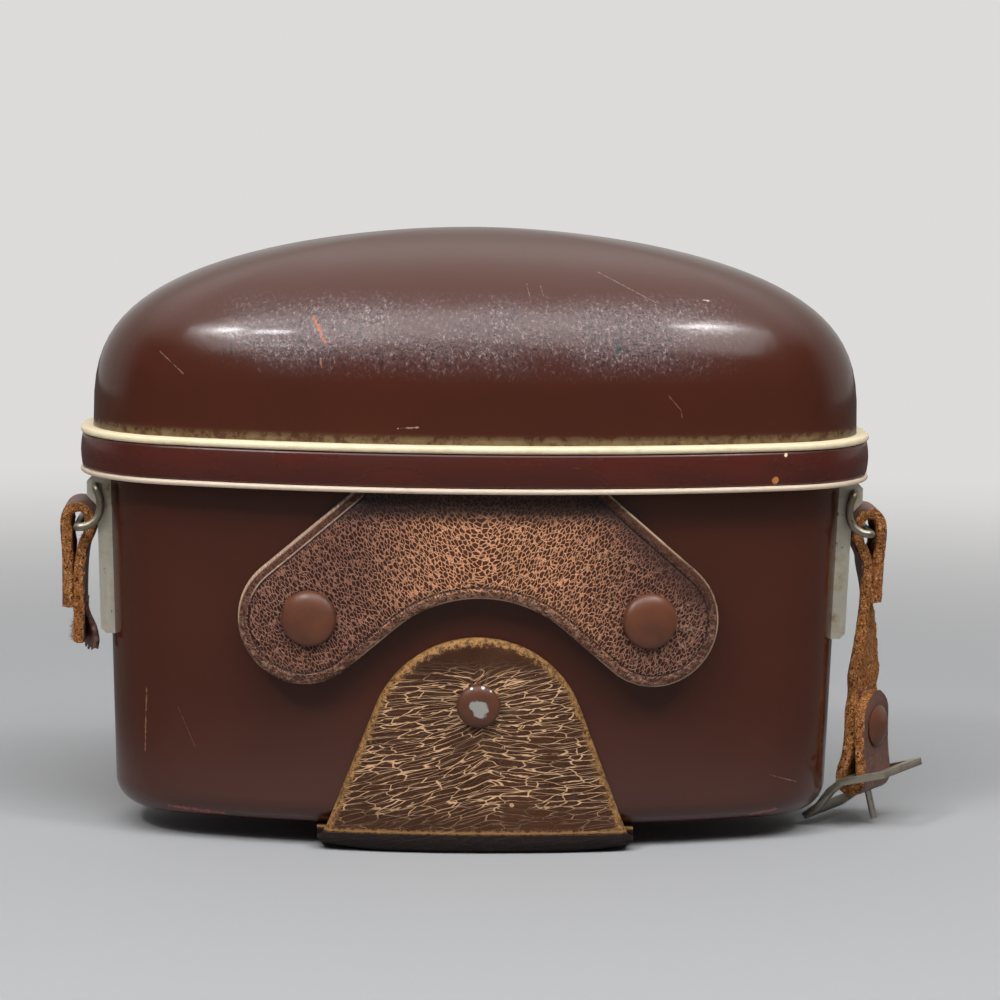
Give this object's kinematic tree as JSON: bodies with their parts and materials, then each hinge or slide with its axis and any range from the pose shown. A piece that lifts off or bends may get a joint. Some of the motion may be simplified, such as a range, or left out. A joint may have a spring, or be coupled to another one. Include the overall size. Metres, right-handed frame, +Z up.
{
  "type": "camera case",
  "caption": "Hard moulded camera case with a domed lid on a leather hinge, a snap-down leather flap, side lugs with wire bails and a broken carrying strap with a buckle.",
  "frame": {"origin": "middle of the plan, on the surface the case stands on, in the underside of the base leather", "axes": "+X to the case's right in the picture's front view, +Y to the back, +Z up; the front flap is at -Y"},
  "size_m": [0.1977, 0.088, 0.1356],
  "materials": {
    "moulded_shell": "glossy chocolate-brown moulded shell, scuffed",
    "band": "glossy red-brown band",
    "piping": "cream piping, slightly worn",
    "felt": "dull felt lining",
    "flap_leather": "cracked dark brown leather with worn edges",
    "tab_leather": "dark brown leather with tan crackle",
    "strap_leather": "fuzzy orange-brown suede with a mauve-brown grain",
    "nickel": "dull tarnished nickel",
    "painted_cap": "brown enamelled cap, chipped"
  },
  "bodies": {
    "tub": {"tub_shell": "moulded_shell", "tub_lining": "felt", "floor_pad": "felt", "snap_studs": "nickel", "stud_backs": "nickel", "front_tab": "tab_leather", "tab_rivet": "painted_cap", "tab_rivet_washer": "nickel", "rear_strap": "tab_leather", "rear_rivets": "painted_cap", "rear_rivet_washers": "nickel", "base_rivets": "nickel", "base_rivet_washers": "nickel", "left_lug": "nickel", "right_lug": "nickel", "left_lug_rivets": "nickel", "right_lug_rivets": "nickel"},
    "lid": {"lid_shell": "moulded_shell", "lid_band": "band", "upper_trim": "piping", "lower_trim": "piping", "lid_lining": "felt", "flap_root": "flap_leather", "hinge_root": "tab_leather"},
    "flap": {"front_flap": "flap_leather", "snap_caps": "painted_cap", "snap_sockets": "nickel"},
    "left_bail": {"left_bail": "nickel"},
    "left_strap": {"left_strap": "strap_leather"},
    "right_bail": {"right_bail": "nickel"},
    "right_strap": {"right_strap": "strap_leather", "strap_rivet": "painted_cap"},
    "buckle": {"buckle_frame": "nickel"},
    "prong": {"buckle_prong": "nickel"}
  },
  "joints": [
    {"name": "lid_hinge", "type": "hinge", "parent": "tub", "child": "lid", "pos_m": [0, 0.0391, 0.0781], "axis": [-1, 0, 0], "range_deg": [0, 95]},
    {"name": "flap_swing", "type": "hinge", "parent": "lid", "child": "flap", "pos_m": [0, -0.0391, 0.0781], "axis": [-1, 0, 0], "range_deg": [0, 90]},
    {"name": "left_bail_swing", "type": "hinge", "parent": "tub", "child": "left_bail", "pos_m": [-0.08511, 0, 0.0772], "axis": [0, 1, 0], "range_deg": [0, 75]},
    {"name": "left_strap_swing", "type": "hinge", "parent": "left_bail", "child": "left_strap", "pos_m": [-0.08931, 0, 0.0682], "axis": [0, 1, 0], "range_deg": [0, 45]},
    {"name": "right_bail_swing", "type": "hinge", "parent": "tub", "child": "right_bail", "pos_m": [0.08511, 0, 0.0772], "axis": [0, -1, 0], "range_deg": [0, 75]},
    {"name": "right_strap_swing", "type": "hinge", "parent": "right_bail", "child": "right_strap", "pos_m": [0.08931, 0, 0.0682], "axis": [0, -1, 0], "range_deg": [0, 45]},
    {"name": "buckle_swing", "type": "hinge", "parent": "right_strap", "child": "buckle", "pos_m": [0.09021, 0, 0.0113], "axis": [-0.5299, -0.848, 0], "range_deg": [0, 40]},
    {"name": "prong_swing", "type": "hinge", "parent": "buckle", "child": "prong", "pos_m": [0.09021, 0, 0.0113], "axis": [-0.5299, -0.848, 0], "range_deg": [-56, 70]}
  ]
}
